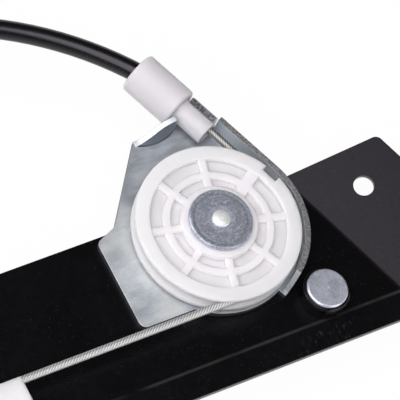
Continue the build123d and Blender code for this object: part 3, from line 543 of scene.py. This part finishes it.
class REGULATOR_OT_brackets(bpy.types.Operator):
    """Plate the pulley brackets and their locating rivets"""

    bl_idname = "regulator.brackets"
    bl_label = "Pulley brackets"
    bl_options = {"REGISTER", "UNDO"}

    def execute(self, context):
        sizes = context.scene.regulator_finish
        finish = zinc_plating(
            "bracket_zinc", sizes.zinc, 0.22, 0.56, sizes.edge_break, pressed=True
        )
        coat(finish, "upper_pulley_bracket", "lower_pulley_bracket", "bracket_rivets")
        return {"FINISHED"}


# ---------------------------------------------------------------- pulleys, axles and studs


class REGULATOR_OT_pulleys(bpy.types.Operator):
    """Mould the two pulleys in natural nylon"""

    bl_idname = "regulator.pulleys"
    bl_label = "Pulleys"
    bl_options = {"REGISTER", "UNDO"}

    def execute(self, context):
        sizes = context.scene.regulator_finish
        finish = natural_nylon(
            "pulley_nylon", sizes.nylon, 0.42, sizes.edge_break, POCKET_FLOOR
        )
        coat(finish, "upper_pulley", "lower_pulley")
        return {"FINISHED"}


class REGULATOR_OT_axles(bpy.types.Operator):
    """Stamp the grainy axle washers and head the rivets over them"""

    bl_idname = "regulator.axles"
    bl_label = "Axles and washers"
    bl_options = {"REGISTER", "UNDO"}

    def execute(self, context):
        sizes = context.scene.regulator_finish
        coat(self.stamped_zinc(sizes), "upper_axle_washer", "lower_axle_washer")
        coat(self.headed_zinc(), "upper_axle_rivet", "lower_axle_rivet")
        return {"FINISHED"}

    def stamped_zinc(self, sizes):
        """Dull zinc with a groove inside the rim and a collar that the rivet pressed."""
        finish = Finish("washer_zinc", Metallic=1.0)
        radius = finish.about(UPPER_AXLE, AXLE_REACH)
        grain = finish.cloud(0.5 * MM, 4.0)
        clouds = finish.cloud(3 * MM, 2.0)
        flecks = finish.step(finish.cloud(0.8 * MM, 5.0), 0.5, 0.66)
        groove = finish.band(radius, *WASHER_GROOVE, 0.35 * MM)
        collar = finish.band(radius, *WASHER_COLLAR, 0.4 * MM)
        rim = finish.step(radius, WASHER_RADIUS - 0.35 * MM, WASHER_RADIUS)
        shade = finish.step(grain, 0.3, 0.7) * 0.3 + clouds * 0.3 + flecks * 0.2
        shade = shade - groove * 0.15 + collar * 0.15 + rim * 0.1
        finish.feed(
            Base_Color=finish.tint(
                finish.step(shade, 0.05, 0.85),
                rgba(sizes.washer, 0.62),
                rgba(sizes.washer, 1.3),
            ),
            Roughness=(grain - 0.5) * 0.3 - rim * 0.12 + 0.54,
        )
        height = grain * 0.35 + clouds * 0.2 - groove * 0.45
        finish.relief(height, 0.06 * MM, sizes.edge_break)
        return finish

    def headed_zinc(self):
        """Pale bright metal with faint swirls from the heading tool."""
        finish = Finish("rivet_zinc", Metallic=0.7)
        radius = finish.about(UPPER_AXLE, AXLE_REACH)
        swirl = finish.cloud(0.5 * MM, 2.0)
        rings = finish.sine(radius * (2 * math.pi / RIVET_RINGS) + swirl * 3.0)
        finish.feed(
            Base_Color=finish.tint(
                finish.step(swirl + rings * 0.12, 0.3, 0.7),
                (0.92, 0.95, 0.93, 1),
                (1.0, 1.0, 0.99, 1),
            ),
            Roughness=(swirl - 0.5) * 0.2 + 0.52,
        )
        finish.relief(swirl * 0.7 + rings * 0.15, 0.05 * MM)
        return finish


class REGULATOR_OT_studs(bpy.types.Operator):
    """Turn the fixing studs' heads and roll their threads"""

    bl_idname = "regulator.studs"
    bl_label = "Fixing studs"
    bl_options = {"REGISTER", "UNDO"}

    def execute(self, context):
        sizes = context.scene.regulator_finish
        finish = Finish("stud_zinc", Metallic=1.0)
        radius = finish.about(UPPER_STUD, STUD_REACH)
        grain = finish.cloud(0.4 * MM, 2.0)
        clouds = finish.cloud(2.5 * MM, 2.0)
        rings = finish.sine(radius * (2 * math.pi / STUD_RINGS) + clouds * 1.5)
        # the lathe's centre mark, and the chamfer that it left round the head, with a painted
        # highlight all round the chamfer
        point = 1 - finish.step(radius, 0.15 * MM, 0.42 * MM)
        rim = finish.step(radius, *STUD_RIM)
        shade = clouds * 0.6 + grain * 0.4 + rings * 0.03 + point * 0.5
        finish.feed(
            Base_Color=finish.tint(
                finish.step(shade, 0.25, 0.8) + rim * 0.7,
                rgba(sizes.stud, 0.78),
                rgba(sizes.stud, 1.28),
            ),
            Roughness=(grain - 0.5) * 0.2 - rim * 0.12 + 0.52,
        )
        finish.relief(rings * 0.06 + grain * 0.4 - point * 0.5, 0.04 * MM, sizes.edge_break)
        coat(finish, "fixing_studs")
        for name in ("upper", "lower"):
            centre = mount_place(f"{name}_stud")
            coat(finish, self.thread(f"{name}_stud_thread", centre, sizes.thread_pitch))
        return {"FINISHED"}

    def thread(self, name, centre, pitch):
        """Rolled thread as one helical ridge on the stud's shank."""
        shank = MOUNTS["upper_stud"]["dims"]["r_mm"] * MM
        count = int((THREAD_END - THREAD_START) / pitch * THREAD_STEPS)
        points, faces = [], []
        for step in range(count + 1):
            angle = 2 * math.pi * step / THREAD_STEPS
            level = THREAD_START + pitch * step / THREAD_STEPS
            # the ridge runs out over its first and last turn
            fade = min(1.0, step / THREAD_STEPS, (count - step) / THREAD_STEPS)
            foot, crest = shank - 0.04 * MM, shank + 0.16 * MM * fade
            for share, reach in ((-0.42, foot), (-0.1, crest), (0.1, crest), (0.42, foot)):
                points.append(
                    (
                        centre.x + reach * math.cos(angle),
                        centre.y + reach * math.sin(angle),
                        level + share * pitch,
                    )
                )
            if step:
                last = 4 * (step - 1)
                for side in range(last, last + 3):
                    faces.append((side, side + 4, side + 5, side + 1))
        return mesh_piece(name, points, faces, "rail_frame")


# ---------------------------------------------------------------- cable, conduits and ferrules


class REGULATOR_OT_ferrules(bpy.types.Operator):
    """Mould the conduit ferrules in natural nylon"""

    bl_idname = "regulator.ferrules"
    bl_label = "Ferrules"
    bl_options = {"REGISTER", "UNDO"}

    def execute(self, context):
        sizes = context.scene.regulator_finish
        # painted shade: the ferrules take the pulleys' nylon at 0.78 of its brightness
        shade = [0.78 * share for share in sizes.nylon]
        coat(
            natural_nylon("ferrule_nylon", shade, 0.48, sizes.edge_break),
            "upper_ferrule", "lower_ferrule", "upper_housing_ferrule", "lower_housing_ferrule",
        )
        return {"FINISHED"}


class REGULATOR_OT_cable(bpy.types.Operator):
    """Extrude the conduits' casing and lay the lift cable's strands"""

    bl_idname = "regulator.cable"
    bl_label = "Cable and conduits"
    bl_options = {"REGISTER", "UNDO"}

    def execute(self, context):
        sizes = context.scene.regulator_finish
        coat(self.extruded_casing(sizes), "upper_conduit", "lower_conduit")
        coat(self.laid_steel(sizes), "lift_cable", "drum_cable_turns")
        return {"FINISHED"}

    def extruded_casing(self, sizes):
        """Smooth black plastic with soft marks along it."""
        finish = Finish(
            "conduit_casing", Specular_IOR_Level=0.5, Specular_Tint=(0.95, 0.90, 1.0, 1.0)
        )
        skin = finish.cloud(1.1 * MM, 3.0)
        flow = finish.cloud(7 * MM, 2.0)
        finish.feed(
            Base_Color=finish.tint(
                flow * 0.4 + skin * 0.1, rgba(sizes.casing), rgba(sizes.casing, 1.8)
            ),
            Roughness=(skin - 0.5) * 0.08 + (flow - 0.5) * 0.06 + 0.27,
        )
        finish.relief(skin * 0.5 + flow * 0.5, 0.012 * MM)
        return finish

    def laid_steel(self, sizes):
        """Steel rope, whose strands wind round the two straight runs that show."""
        finish = Finish("rope_steel", Metallic=1.0)
        low, high = (Vector(corner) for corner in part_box("lift_cable"))
        core_y, core_z = low.y + ROPE_RADIUS, high.z - ROPE_RADIUS
        # the run to the ferrule, along itself and across from its core
        lean = (-math.sin(FERRULE_SKEW), math.cos(FERRULE_SKEW))
        side, rise = finish.beyond_axle(), finish.y - UPPER_AXLE.y
        along = side * lean[0] + rise * lean[1]
        beside = side * lean[1] - rise * lean[0] - FERRULE_OFFSET
        rate = 2 * math.pi / sizes.strand_spacing
        on_rail = finish.sine(
            finish.x * rate
            + finish.turn(finish.y - core_y, finish.z - core_z) * ROPE_STRANDS
        )
        on_ferrule = finish.sine(
            along * rate + finish.turn(beside, finish.z - core_z) * ROPE_STRANDS
        )
        rail_run = 1 - finish.step(finish.y, core_y + 2 * MM, core_y + 4 * MM)
        lay = on_rail * rail_run + on_ferrule * (1 - rail_run)
        wires = finish.cloud(0.25 * MM, 2.0)
        shade = finish.step(lay * 0.25 + wires * 0.6 + 0.2, 0.05, 0.8)
        unshaded_run = finish.tint(shade, (0.36, 0.36, 0.37, 1), (0.92, 0.92, 0.92, 1))
        # painted shade on the run from the pulley into the ferrule, where it runs out of the
        # casing
        painted_shade_run = finish.tint(shade, (0.20, 0.195, 0.19, 1), (0.48, 0.47, 0.46, 1))
        finish.feed(
            Base_Color=finish.tint(rail_run, painted_shade_run, unshaded_run),
            Roughness=(wires - 0.5) * 0.2 + 0.54,
        )
        finish.relief(lay * 0.5 + wires * 0.3, 0.035 * MM)
        return finish


# ---------------------------------------------------------------- drum


class REGULATOR_OT_drum(bpy.types.Operator):
    """Finish the drum, its housing, cover, screws and mounting bushes"""

    bl_idname = "regulator.drum"
    bl_label = "Drum and housing"
    bl_options = {"REGISTER", "UNDO"}

    def execute(self, context):
        sizes = context.scene.regulator_finish
        edge = sizes.edge_break
        plastic = moulded_black(
            "housing_plastic", (0.012, 0.012, 0.013), 0.5, 0.45 * MM, 0.03 * MM, edge
        )
        coat(plastic, "drum_housing", "drum_cover")
        coat(natural_nylon("drum_acetal", (0.50, 0.50, 0.48), 0.4, edge), "cable_drum")
        rubber = moulded_black(
            "bush_rubber", (0.014, 0.014, 0.014), 0.72, 0.3 * MM, 0.02 * MM, 2 * edge
        )
        coat(rubber, "mounting_bushes", "glass_pads")
        coat(zinc_plating("sleeve_zinc", sizes.zinc, 0.12, 0.42, edge), "bush_sleeves")
        coat(self.recessed_zinc(sizes), "cover_screws")
        return {"FINISHED"}

    def recessed_zinc(self, sizes):
        """Zinc with a lobed recess in each of the three screws' heads, painted near black as
        painted shade.
        """
        finish = Finish("screw_zinc", Metallic=1.0)
        grain = finish.cloud(0.4 * MM, 2.0)
        # each screw's own axis, found by folding the circle of bosses into one third
        radius = finish.about(DRUM_AXIS)
        angle = finish.turn(finish.x - DRUM_AXIS.x, finish.y - DRUM_AXIS.y)
        fold = finish.folded(angle - FIRST_BOSS, 2 * math.pi / 3)
        out, across = radius * finish.cosine(fold) - BOSS_CIRCLE, radius * finish.sine(fold)
        reach = (out**2 + across**2) ** 0.5
        lobes = finish.sine(finish.turn(out, across) * RECESS_LOBES) * LOBE_HEIGHT + RECESS_RADIUS
        recess = finish.step(lobes - reach, -0.05 * MM, 0.12 * MM)
        # painted shade: each recess is painted near black
        finish.feed(
            Base_Color=finish.tint(recess * 0.9, rgba(sizes.zinc), (0.05, 0.05, 0.055, 1)),
            Roughness=(grain - 0.5) * 0.2 + 0.33,
        )
        finish.relief(grain * 0.1 - recess, 0.3 * MM)
        return finish


# ---------------------------------------------------------------- carrier


class REGULATOR_OT_carrier(bpy.types.Operator):
    """Finish the sliding carrier that holds the glass"""

    bl_idname = "regulator.carrier"
    bl_label = "Glass carrier"
    bl_options = {"REGISTER", "UNDO"}

    def execute(self, context):
        sizes = context.scene.regulator_finish
        nylon = natural_nylon("shoe_nylon", sizes.nylon, 0.45, 2 * sizes.edge_break)
        coat(nylon, "slider_shoe", "edge_guide", "glass_bushes")
        # painted shade: the lift plate takes the brackets' zinc at 0.86 of its brightness
        sheet = [0.86 * share for share in sizes.zinc]
        coat(
            zinc_plating("carrier_zinc", sheet, 0.16, 0.62, sizes.edge_break),
            "lift_plate", "carrier_rivets", "cable_nipple",
        )
        return {"FINISHED"}


# ---------------------------------------------------------------- stage


class REGULATOR_OT_stage(bpy.types.Operator):
    """Lay the floor, hang the soft lamps and place the camera"""

    bl_idname = "regulator.stage"
    bl_label = "Stage"
    bl_options = {"REGISTER", "UNDO"}

    def execute(self, context):
        scene = context.scene
        scene.unit_settings.system = "METRIC"
        scene.view_settings.view_transform = "Standard"
        self.lay_floor(scene)
        self.light_world(scene)
        for name, way, distance, width, power in LAMPS:
            self.hang_lamp(scene, name, Vector(way).normalized(), distance, width, power)
        self.place_camera(scene)
        return {"FINISHED"}

    def lay_floor(self, scene):
        """A sheet of pale paper, just under the regulator."""
        half, colour = FLOOR_HALF, scene.regulator_finish.floor
        mesh = bpy.data.meshes.new("studio_floor")
        corners = [(-half, -half, 0), (half, -half, 0), (half, half, 0), (-half, half, 0)]
        mesh.from_pydata(corners, [], [(0, 1, 2, 3)])
        floor = bpy.data.objects.new("studio_floor", mesh)
        floor.location.z = -FLOOR_DROP
        scene.collection.objects.link(floor)
        finish = Finish("studio_floor", Roughness=0.9, Specular_IOR_Level=0.0)
        paper = finish.cloud(0.4, 2.0)
        finish.feed(Base_Color=finish.tint(paper, rgba(colour, 0.98), rgba(colour)))
        # white to the eye and to what mirrors it, and a little of the lit paper for shadows
        seen = (finish.ray("Camera") + finish.ray("Glossy") + finish.ray("Transmission")) * 0.97
        glow = finish.add("ShaderNodeEmission", {}, {"Color": WHITE, "Strength": 1.0})
        mixed = finish.add("ShaderNodeMixShader", {}, {0: seen, 1: finish.lit, 2: glow})
        finish.fill(finish.output, {"Surface": mixed})
        coat(finish, floor)

    def light_world(self, scene):
        """A faint even light that is seen as white, and mirrored as white low down."""
        world = bpy.data.worlds.new("studio_world")
        world.use_nodes = True
        sky = NodeBench(world.node_tree)
        height = sky.height(sky.add("ShaderNodeTexCoord", {}, {}, "Generated"))
        backdrop = 1 - sky.step(height, 0.05, 0.30)
        seen = sky.ray("Camera") + backdrop * (sky.ray("Glossy") + sky.ray("Transmission"))
        dim = sky.add("ShaderNodeBackground", {}, {"Color": WHITE, "Strength": 0.06})
        white = sky.add("ShaderNodeBackground", {}, {"Color": WHITE, "Strength": 1.0})
        mixed = sky.add("ShaderNodeMixShader", {}, {0: seen, 1: dim, 2: white})
        sky.node("ShaderNodeOutputWorld", {}, {"Surface": mixed})
        scene.world = world

    def hang_lamp(self, scene, name, way, distance, width, power):
        """A square lamp that hangs off the upper pulley by a way and faces it."""
        lamp = bpy.data.lights.new(name, "AREA")
        lamp.shape = "SQUARE"
        lamp.size = width
        lamp.energy = power
        holder = bpy.data.objects.new(name, lamp)
        holder.location = UPPER_AXLE + way * distance
        holder.rotation_mode = "QUATERNION"
        holder.rotation_quaternion = (-way).to_track_quat("-Z", "Y")
        scene.collection.objects.link(holder)

    def place_camera(self, scene):
        """A long lens that looks down at the upper pulley."""
        lens = bpy.data.cameras.new("camera")
        lens.sensor_width = SENSOR_WIDTH
        lens.lens = FOCAL_LENGTH
        lens.clip_start, lens.clip_end = 0.01, 100.0
        camera = bpy.data.objects.new("camera", lens)
        turn = Matrix((CAMERA_RIGHT, CAMERA_UP, CAMERA_BACK)).transposed().to_4x4()
        stand = Vector((UPPER_AXLE.x, UPPER_AXLE.y, RAIL_FACE)) + CAMERA_STAND
        camera.matrix_world = Matrix.Translation(stand) @ turn
        scene.collection.objects.link(camera)
        scene.camera = camera


# ---------------------------------------------------------------- add-on


OPERATORS = (
    REGULATOR_OT_rail,
    REGULATOR_OT_brackets,
    REGULATOR_OT_pulleys,
    REGULATOR_OT_axles,
    REGULATOR_OT_studs,
    REGULATOR_OT_ferrules,
    REGULATOR_OT_cable,
    REGULATOR_OT_drum,
    REGULATOR_OT_carrier,
    REGULATOR_OT_stage,
)


class REGULATOR_PT_sidebar(bpy.types.Panel):
    """Lists the sizes and colours, and what each operator finishes"""

    bl_label = "Window regulator"
    bl_idname = "REGULATOR_PT_sidebar"
    bl_space_type = "VIEW_3D"
    bl_region_type = "UI"
    bl_category = "Regulator"

    def draw(self, context):
        for name in RegulatorFinish.__annotations__:
            self.layout.prop(context.scene.regulator_finish, name)
        for operator in OPERATORS:
            self.layout.operator(operator.bl_idname)


CLASSES = (RegulatorFinish, *OPERATORS, REGULATOR_PT_sidebar)


def register():
    for part in CLASSES:
        bpy.utils.register_class(part)
    bpy.types.Scene.regulator_finish = bpy.props.PointerProperty(type=RegulatorFinish)


def unregister():
    del bpy.types.Scene.regulator_finish
    for part in reversed(CLASSES):
        bpy.utils.unregister_class(part)


def main():
    register()
    for operator in OPERATORS:
        group, name = operator.bl_idname.split(".")
        getattr(getattr(bpy.ops, group), name)()


if __name__ == "__main__":
    main()
